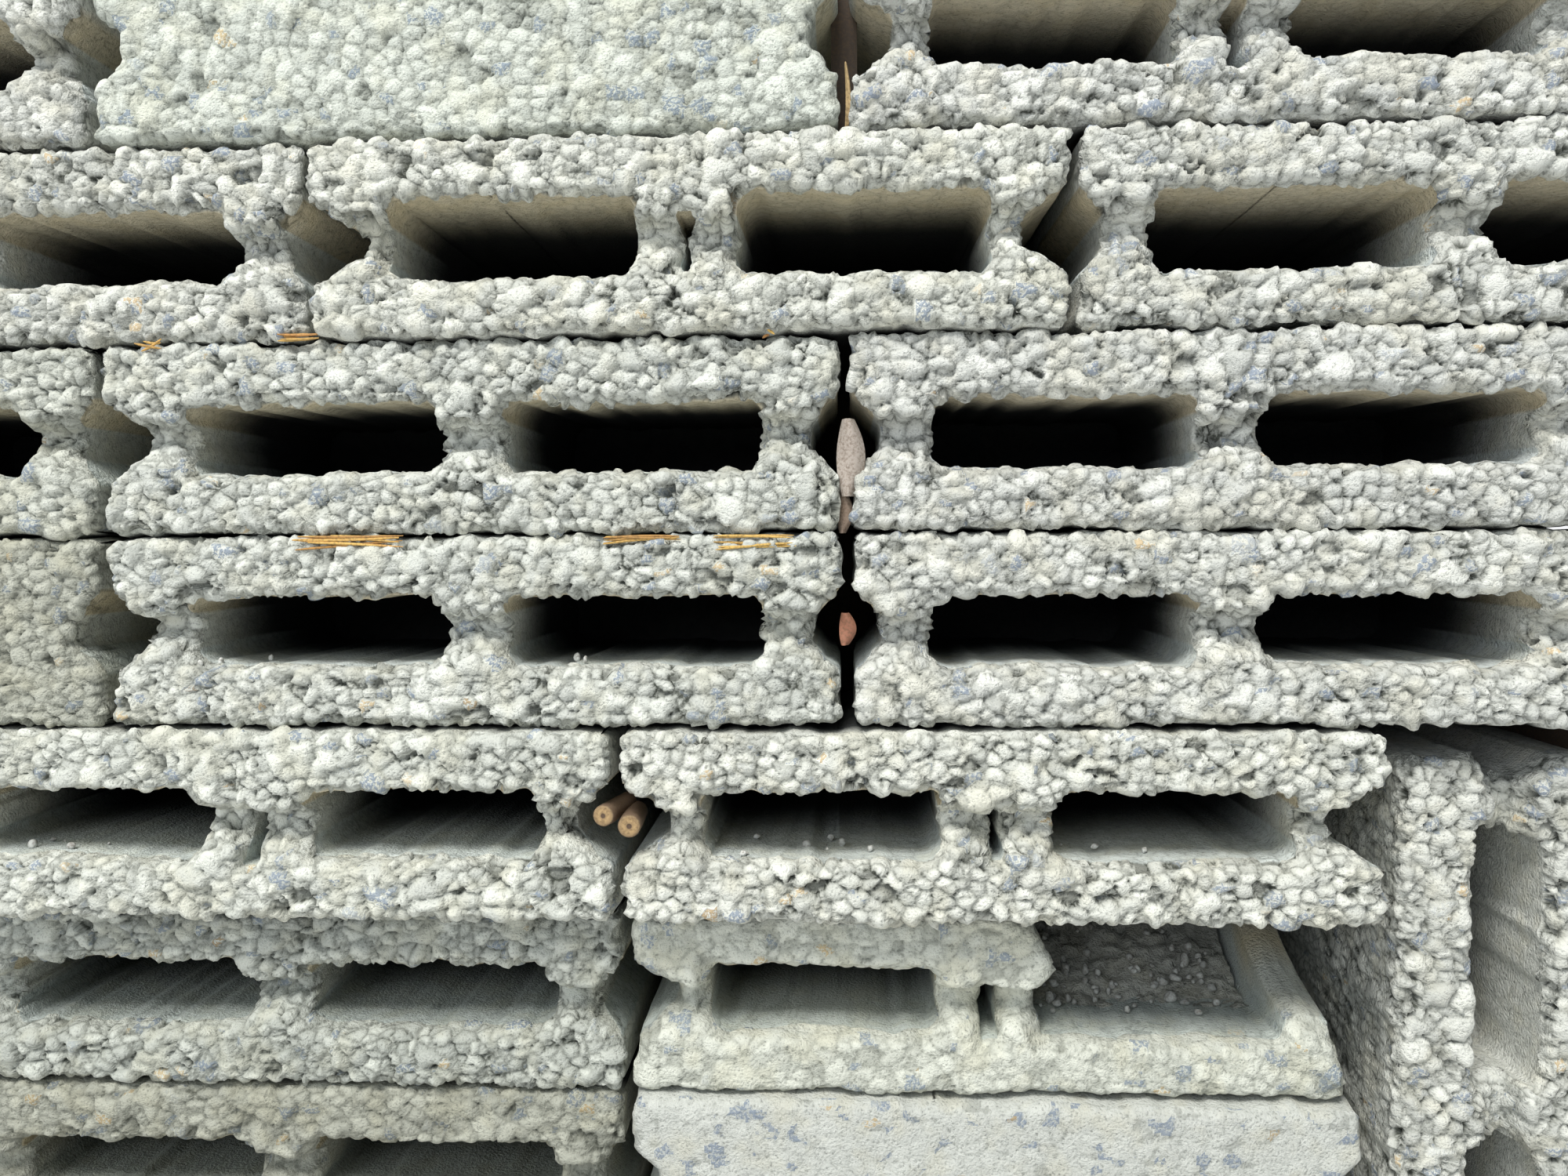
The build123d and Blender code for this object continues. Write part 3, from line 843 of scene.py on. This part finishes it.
def rear_block_on_end(layer):
    at_back = layer == LAYERS - 1
    u_lines, v_lines = even_lines(LENGTH, END_GRID), even_lines(THICK_BLOCK, END_GRID)
    seed = 1200 + layer
    rings = open_walls(BACK_RINGS, top=True)
    uvw, quads, depth, relief = rear_mesh(layer, THICK_BLOCK, u_lines, v_lines, rings, seed)
    if not at_back:
        quads = quads[:, ::-1]
    y_front = LOWER_FRONT + layer * (WIDTH + LAYER_GAP)
    points = place_block(uvw, END_LEFT, y_front, DECK, on_end=True, from_back=at_back)
    return Part(points, quads, depth, relief, 1.0, (0.96, 0.96, 0.94), seed)


def shows(course, layer, spot):
    """Whether a side of the stack shows this block behind the front layer."""
    at_side = spot == 0 or (spot == 2 and course < UPPER_COURSES)
    return layer == LAYERS - 1 or at_side or course == 0


for course in range(len(COURSES)):
    for spot in range(len(PLACES)):
        front_block(course, spot)
front_block_on_end()
for course, course_name in enumerate(COURSES):
    spots = [(layer, spot) for layer in range(1, LAYERS) for spot in range(len(PLACES))]
    parts = [rear_block(course, layer, spot) for layer, spot in spots if shows(course, layer, spot)]
    name = course_name + "_course_rear_blocks"
    concrete_piece(name + "_body", parts, [name])
parts = [rear_block_on_end(layer) for layer in range(1, LAYERS)]
concrete_piece("rear_blocks_on_end_body", parts, ["rear_blocks_on_end"])


def face_piece(name, points, faces, values, material, nodes):
    """One object from points in mm in the stack's frame, and faces."""
    mesh = bpy.data.meshes.new(name)
    mesh.from_pydata([tuple(p) for p in np.asarray(points) * MM], [], faces)
    add_piece(name, mesh, values, material, nodes)


def ring_quads(first, second, sides):
    """Quads between two rings of points."""
    pairs = [(j, (j + 1) % sides) for j in range(sides)]
    return [(first + j, first + k, second + k, second + j) for j, k in pairs]


def fan(first, centre, sides):
    """Triangles from a ring of points to its centre."""
    return [(centre, first + (j + 1) % sides, first + j) for j in range(sides)]


def rectangle_loop(half_a, half_b, radius, spacing):
    """Points round a rectangle with rounded corners."""
    loop = []
    for quarter, (sign_a, sign_b) in enumerate(((1, 1), (-1, 1), (-1, -1), (1, -1))):
        for step in range(4):
            angle = math.radians(90.0 * quarter + 30.0 * step)
            a = sign_a * (half_a - radius) + radius * math.cos(angle)
            loop.append((a, sign_b * (half_b - radius) + radius * math.sin(angle)))
    out = []
    for a, b in zip(loop, loop[1:] + loop[:1]):
        count = max(1, round(math.dist(a, b) / spacing))
        out += [(a[0] + (b[0] - a[0]) * k / count, a[1] + (b[1] - a[1]) * k / count) for k in range(count)]
    return np.array(out)


def board(node, seed):
    """A sawn, worn board or foot in place of a CAD node, with its grain along its longest side."""
    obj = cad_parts[node]
    corners = np.array([obj.matrix_world @ Vector(corner) for corner in obj.bound_box]) / MM
    low, high = corners.min(0), corners.max(0)
    size, centre = high - low, (high + low) / 2
    long = int(np.argmax(size))
    a, b = [axis for axis in range(3) if axis != long]
    slow, fine = Noise(seed), Noise(seed + 1)
    spacing = 14.0
    loop = rectangle_loop(size[a] / 2, size[b] / 2, 3.0, spacing)
    around = np.arange(len(loop)) * spacing
    outward = loop / np.hypot(loop[:, 0], loop[:, 1])[:, None]
    half = size[long] / 2
    count = max(8, round(size[long] / 22.0))
    stops = [-half, -half + 1.2, -half + 3.0, *np.linspace(-half + 12, half - 12, count)]
    stops += [half - 3.0, half - 1.2, half]
    verts, cut_end = [], []
    for t in stops:
        from_end = half - abs(t)
        tuck = 2.2 * (1 - min(from_end / 3.0, 1.0)) ** 2
        wear = 0.9 * slow.at(t / 70.0 + 3.0, around / 40.0) + 0.5 * fine.at(t / 17.0, around / 14.0)
        rows = np.zeros((len(loop), 3))
        rows[:, long] = t
        rows[:, [a, b]] = loop - outward * (tuck + 0.5 - 0.5 * wear)[:, None]
        verts.append(rows)
        cut_end.append(np.full(len(loop), 1.0 if from_end < 0.5 else 0.0))
    n = len(loop)
    faces = []
    for row in range(len(stops) - 1):
        faces += ring_quads(row * n, row * n + n, n)
    total = n * len(stops)
    for row, sign in ((0, -1), (len(stops) - 1, 1)):
        middle = np.zeros((1, 3))
        middle[0, long] = stops[row] + sign * 0.3
        verts.append(middle)
        cut_end.append(np.ones(1))
        faces += [face[::-sign] for face in fan(row * n, total, n)]
        total += 1
    verts = np.concatenate(verts)
    if np.linalg.det(np.eye(3)[[long, a, b]]) < 0:
        faces = [tuple(reversed(face)) for face in faces]
    grain = verts[:, [long, a, b]] * MM + np.random.default_rng(seed).uniform(0, 4, 3)
    values = {"grain": grain, "cut_end": np.concatenate(cut_end)}
    face_piece(node + "_body", verts + centre, faces, values, TIMBER, [node])


for number, node in enumerate(sorted(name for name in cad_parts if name.startswith("pallet_"))):
    board(node, 2000 + 7 * number)


def litter(name, parts):
    """Joins small parts, each with its points, faces and colour or colours, into one piece."""
    points, faces, tones = [], [], []
    for v, f, colour in parts:
        faces += [tuple(i + len(points) for i in face) for face in f]
        points += list(v)
        tones += [colour] * len(v) if isinstance(colour, tuple) else colour
    points = np.asarray(points) - np.array([MIDDLE, 0.0, 0.0])
    tones = np.column_stack([np.asarray(tones, float), np.ones(len(tones))])
    face_piece(name, points, faces, {"grain": points * MM, "tone": tones}, LITTER, [])


def tube(path, radii, sides):
    """Rings round a path: points and quads."""
    path = np.asarray(path, float)
    verts, faces = [], []
    for k, (p, r) in enumerate(zip(path, radii)):
        ahead = path[min(k + 1, len(path) - 1)] - path[max(k - 1, 0)]
        ahead = ahead / np.linalg.norm(ahead)
        side = np.cross(ahead, (0.0, 0.3, 1.0))
        side = side / np.linalg.norm(side)
        up = np.cross(side, ahead)
        angles = np.arange(sides) * 2 * math.pi / sides
        verts += [p + r * (math.cos(t) * side + math.sin(t) * up) for t in angles]
        if k:
            faces += ring_quads((k - 1) * sides, k * sides, sides)
    return verts, faces


def dry_needles():
    straw = np.random.default_rng(41)
    radii = [0.25, 0.65, 0.75, 0.75, 0.7, 0.6, 0.2]
    needles = []
    # each bunch's two ends, its height and its number of needles
    for x0, x1, z, count in (
        (-257, -197, 649.5, 9),
        (-94, -53, 648.0, 9),
        (-39, 8, 649.0, 5),
        (-264, -239, 754.0, 5),
        (-340, -323, 752.6, 3),
        (-11, -4, 752.5, 2),
    ):
        for _ in range(count):
            a, b = sorted(straw.uniform(x0, x1, 2))
            if b - a < 0.45 * (x1 - x0):
                a, b = x0 + straw.uniform(0, 4), x1 - straw.uniform(0, 4)
            y = UPPER_FRONT - straw.uniform(0.2, 2.6)
            reach = 6.5 if straw.random() < 0.3 else 2.2
            z0, z1 = z + straw.uniform(-reach, 2.2), z + straw.uniform(-reach, 2.2)
            bow = straw.uniform(-0.8, 0.8)
            path = []
            for t in np.linspace(0, 1, len(radii)):
                bend = 0.8 * math.sin(3 * t)
                path.append((a + (b - a) * t, y + bend, z0 + (z1 - z0) * t + bow * math.sin(math.pi * t)))
            shade = straw.uniform(0.75, 1.1)
            age = straw.uniform(0.0, 1.0) ** 2
            fresh, faded = np.array([0.68, 0.45, 0.13]), np.array([0.20, 0.22, 0.06])
            needles.append((*tube(path, radii, 6), tuple((fresh - faded * age) * shade)))
    litter("dry_needles", needles)


def cut_twigs():
    """Two cut twigs between two blocks, with rings on their cut ends."""
    bark_light, bark = (0.30, 0.21, 0.11), (0.15, 0.10, 0.065)
    wood_dark, wood, pith = (0.30, 0.20, 0.10), (0.42, 0.29, 0.14), (0.07, 0.045, 0.03)
    rings = ((0.84, wood_dark), (0.55, wood), (0.30, wood_dark), (0.22, pith))
    sides, shares = 20, (0.0, 0.015, 0.2, 0.5, 1.0)
    twigs = []
    for x, z, radius, lean in ((-95.1, 505.0, 5.6, 5.0), (-81.5, 499.6, 6.0, -3.0)):
        path = [(x + lean * t, UPPER_FRONT - 3.0 + 42.0 * t, z - 2.0 * t) for t in shares]
        v, f = tube(path, [radius - 0.7, radius, radius * 1.02, radius, radius * 0.96], sides)
        tones = [bark_light] * sides + [bark] * (4 * sides)
        cut = np.array(v[:sides])
        centre = cut.mean(axis=0)
        outer = 0
        for share, tone in rings:
            inner = len(v)
            v += [centre + (p - centre) * share for p in cut]
            tones += [tone] * sides
            f += ring_quads(inner, outer, sides)
            outer = inner
        v.append(centre + np.array([0.0, 0.5, 0.0]))
        tones.append((0.10, 0.06, 0.04))
        f += fan(outer, len(v) - 1, sides)
        twigs.append((v, f, tones))
    litter("cut_twigs", twigs)


def dead_leaves():
    leaves = []
    across, along = 7, 13
    # each leaf's middle and its depth in the joint, width, height, curl and colour
    for x, z, y, wide, tall, curl, colour in (
        (33.0, 690.0, 7.0, 15.0, 40.0, 5.0, (0.40, 0.35, 0.31)),
        (30.0, 662.0, 12.0, 8.0, 22.0, 3.0, (0.36, 0.27, 0.21)),
        (31.0, 601.0, 9.0, 9.0, 17.0, 3.0, (0.30, 0.13, 0.08)),
        (32.4, 874.0, 14.0, 2.6, 38.0, 0.8, (0.50, 0.36, 0.18)),
    ):
        v = []
        for j in range(along):
            t = j / (along - 1)
            half_width = wide / 2 * (0.25 + 0.75 * math.sin(math.pi * (0.08 + 0.84 * t)))
            for i in range(across):
                u = 2 * i / (across - 1) - 1
                depth = y + curl * u * u + min(curl, 1.2) * math.sin(5 * t + 2 * u)
                sway = half_width * u + 1.5 * math.sin(3 * t)
                v.append((x + sway, UPPER_FRONT + depth, z + tall * (t - 0.5)))
        quads = grid_quads(np.ones((along - 1, across - 1)))
        leaves.append((v, quads[:, [0, 3, 2, 1]].tolist(), colour))
    litter("dead_leaves", leaves)


def joint_shade_sheets():
    """Thin dark sheets packed in the joints, painted shade where light would otherwise show through the
    gaps.
    """
    sheets, bulges, count = [], Noise(71), 9
    # each sheet's two ends, x and y from the front, and its lower and upper edge
    for (x0, y0), (x1, y1), z0, z1 in (
        ((25.0, 42.0), (39.0, 42.0), 855.0, 955.0),
        ((124.0, 190.5), (170.0, 190.5), 747.0, 859.0),
        ((9.0, 190.5), (55.0, 190.5), 544.0, 758.0),
        ((418.0, 24.0), (418.0, 190.0), 530.0, 552.0),
    ):
        across, up = np.meshgrid(np.linspace(0, 1, count), np.linspace(0, 1, count), indexing="ij")
        across, up = across.ravel(), up.ravel()
        bulge = 0.9 * bulges.at(across * 6.0 + x0, up * 6.0)
        along = np.array([x1 - x0, y1 - y0]) / math.hypot(x1 - x0, y1 - y0)
        x = x0 + (x1 - x0) * across + along[1] * bulge
        y = UPPER_FRONT + y0 + (y1 - y0) * across + along[0] * bulge
        f = grid_quads(np.ones((count - 1, count - 1))).tolist()
        # their colour is painted shade
        sheets.append((list(np.column_stack([x, y, z0 + (z1 - z0) * up])), f, (0.05, 0.035, 0.025)))
    litter("joint_shade_sheets", sheets)


def pebble(centre, size, seed):
    """A small broken stone: a ball with flat cuts."""
    r = np.random.default_rng(seed)
    v, f, rows, cols = [], [], 6, 8
    squash = r.uniform(0.55, 1.0, 3)
    planes = [(w / np.linalg.norm(w), r.uniform(0.55, 0.9)) for w in r.normal(size=(5, 3))]
    for i in range(rows + 1):
        for j in range(cols):
            a, b = math.pi * i / rows, 2 * math.pi * (j + 0.5 * (i % 2)) / cols
            p = np.array([math.sin(a) * math.cos(b), math.sin(a) * math.sin(b), math.cos(a)])
            for normal, limit in planes:
                p = p - normal * max(p @ normal - limit, 0.0)
            v.append(np.array(centre) + p * squash * size / 2)
    for i in range(rows):
        for j in range(cols):
            p, q = i * cols + j, i * cols + (j + 1) % cols
            f.append((p, p + cols, q + cols, q))
    return v, f


# The heap of rubble at the back of the broken block's open bay
BROKEN_COURSE, CORE_FLOOR = 5, (THICK - CORE_H) / 2
BAY_FLOOR = course_z(BROKEN_COURSE) + CORE_FLOOR - 2.5
HEAP_START, HEAP_RUN, HEAP_RISE, HEAP_CURVE = 58.0, 76.0, 46.0, 1.25


def rubble_heap():
    """The slope of the heap, as a sheet of small stones."""
    noise, step = Noise(61), 2.2
    x, w = np.meshgrid(np.arange(136.0, 262.0, step), np.arange(50.0, 142.0, step), indexing="ij")
    share = np.clip((w - HEAP_START) / HEAP_RUN, 0, 1)
    rise = HEAP_RISE * share**HEAP_CURVE + 3.0 * noise.at(x / 17.0, w / 17.0) * share**0.5
    side_drop = np.clip((x - 215.0) / 50.0, 0, 1) * 10.0 * rise / HEAP_RISE
    z = BAY_FLOOR + rise - side_drop
    points = np.column_stack([x.ravel() - MIDDLE, (LOWER_FRONT + w).ravel(), z.ravel()])
    quads = grid_quads(np.ones((x.shape[0] - 1, x.shape[1] - 1)))
    # the depth darkens the heap towards the back of the bay, as painted shade
    depth = 14.0 + (w.ravel() - 50.0) * 1.1
    relief = np.full(len(points), 1.2)
    concrete_piece("rubble_heap", [Part(points, quads, depth, relief, 0.7, (0.72, 0.71, 0.67), 613)], [])


def crumbs():
    """Loose crumbs on the heap and on the floors of some cores."""
    rubble = np.random.default_rng(53)
    stones_made = []
    for k in range(80):
        x = rubble.uniform(142, 250)
        into = rubble.triangular(30, 72, 125)
        size = rubble.uniform(3.0, 7.0) if k else 12.0
        size += 4.0 * (k % 9 == 0)
        heap = HEAP_RISE * max(0.0, (into - HEAP_START) / HEAP_RUN) ** HEAP_CURVE
        # each crumb has its own grey, darkened deeper in the bay as painted shade
        shade = rubble.uniform(0.34, 0.60) * (1.0 - 0.5 * max(0.0, into - 70.0) / 55.0)
        v, f = pebble((x, LOWER_FRONT + into, BAY_FLOOR + 2.0 + size * 0.24 + heap), size, 600 + k)
        stones_made.append((v, f, (shade, shade * 1.03, shade * 0.98)))
    # each core floor's two ends, its course and its number of crumbs
    for x0, x1, course, count in (
        (-48, 45, 4, 9),
        (95, 210, 4, 7),
        (-440, -340, 4, 5),
        (-330, -240, 3, 4),
        (-180, -60, 3, 4),
    ):
        for k in range(count):
            size = rubble.uniform(2.5, 6.5)
            z = course_z(course) + CORE_FLOOR + size * 0.2
            shade = rubble.uniform(0.45, 0.66)
            x, into = rubble.uniform(x0, x1), rubble.uniform(8, 45)
            v, f = pebble((x, UPPER_FRONT + into, z), size, 800 + 31 * course + k)
            stones_made.append((v, f, (shade, shade * 1.03, shade * 0.99)))
    litter("crumbs", stones_made)


dry_needles()
cut_twigs()
dead_leaves()
joint_shade_sheets()
rubble_heap()
crumbs()
# the hidden core is painted nearly black, as the shade deep in the stack
hidden_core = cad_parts["hidden_core"].data
hidden_core.materials.clear()
hidden_core.materials.append(hidden_shade_material())


def add_floor():
    mesh = bpy.data.meshes.new("floor")
    reach = 9.0
    corners = [(-reach, -reach, 0), (reach, -reach, 0), (reach, reach, 0), (-reach, reach, 0)]
    mesh.from_pydata(corners, [], [(0, 1, 2, 3)])
    floor = bpy.data.objects.new("floor", mesh)
    bpy.context.scene.collection.objects.link(floor)
    material, n = new_material("floor_paint", 0.9)
    n.put((0.72, 0.72, 0.71, 1.0), n.tree.nodes["Principled BSDF"].inputs["Base Color"])
    mesh.materials.append(material)


def add_world():
    """Soft light from all round, and a pale background that only the camera sees."""
    world = bpy.data.worlds.new("studio")
    bpy.context.scene.world = world
    world.use_nodes = True
    n = Nodes(world.node_tree)
    light = n.tree.nodes["Background"]
    n.put((0.84, 0.92, 1.0, 1.0), light.inputs["Color"])
    n.put(0.27, light.inputs["Strength"])
    seen = n.new("ShaderNodeBackground", {"Color": (0.93, 0.94, 0.95, 1.0), "Strength": 1.0})
    by_camera = n.new("ShaderNodeLightPath", {}).outputs["Is Camera Ray"]
    mix = n.new("ShaderNodeMixShader", {0: by_camera, 1: light.outputs[0], 2: seen.outputs[0]})
    n.put(mix.outputs[0], n.tree.nodes["World Output"].inputs["Surface"])


def add_lamp(name, position, target, size, power, colour):
    """A rectangular lamp in metres and watts, turned to its target."""
    data = bpy.data.lights.new(name, "AREA")
    data.shape = "RECTANGLE"
    data.size, data.size_y = size
    data.energy = power
    data.color = colour
    obj = bpy.data.objects.new(name, data)
    obj.location = position
    obj.rotation_euler = (Vector(target) - Vector(position)).to_track_quat("-Z", "Y").to_euler()
    bpy.context.scene.collection.objects.link(obj)


def add_camera():
    """The photo's camera: its eye is level with the joint below the third course, 0.6 m before the front."""
    distance, eye_x, eye_z = 600.0, 28.8, 650.0
    yaw, pitch, roll = math.radians(2.77), math.radians(-2.57), math.radians(-0.39)
    data = bpy.data.cameras.new("camera")
    data.sensor_width = 36.0
    data.lens = 26.86
    data.clip_start = 0.01
    camera = bpy.data.objects.new("camera", data)
    bpy.context.scene.collection.objects.link(camera)
    camera.location = ((eye_x - MIDDLE) * MM, (UPPER_FRONT - distance) * MM, eye_z * MM)
    upright = Matrix.Rotation(yaw, 3, "Z") @ Matrix.Rotation(math.pi / 2 + pitch, 3, "X")
    camera.rotation_euler = (upright @ Matrix.Rotation(roll, 3, "Z")).to_euler()
    bpy.context.scene.camera = camera


add_floor()
add_world()
add_lamp("key", (-0.9, -3.6, 5.2), (0.1, -0.3, 0.5), (2.4, 1.8), 385.0, (1.0, 0.975, 0.92))
add_lamp("fill", (-1.6, -4.4, 2.0), (0.0, 0.0, 0.5), (2.4, 2.0), 62.0, (0.93, 0.97, 1.0))
add_lamp("rear", (0.5, 3.6, 3.4), (0.0, 0.2, 0.5), (3.0, 2.0), 110.0, (0.97, 0.98, 1.0))
add_camera()
bpy.context.scene.view_settings.view_transform = "Standard"
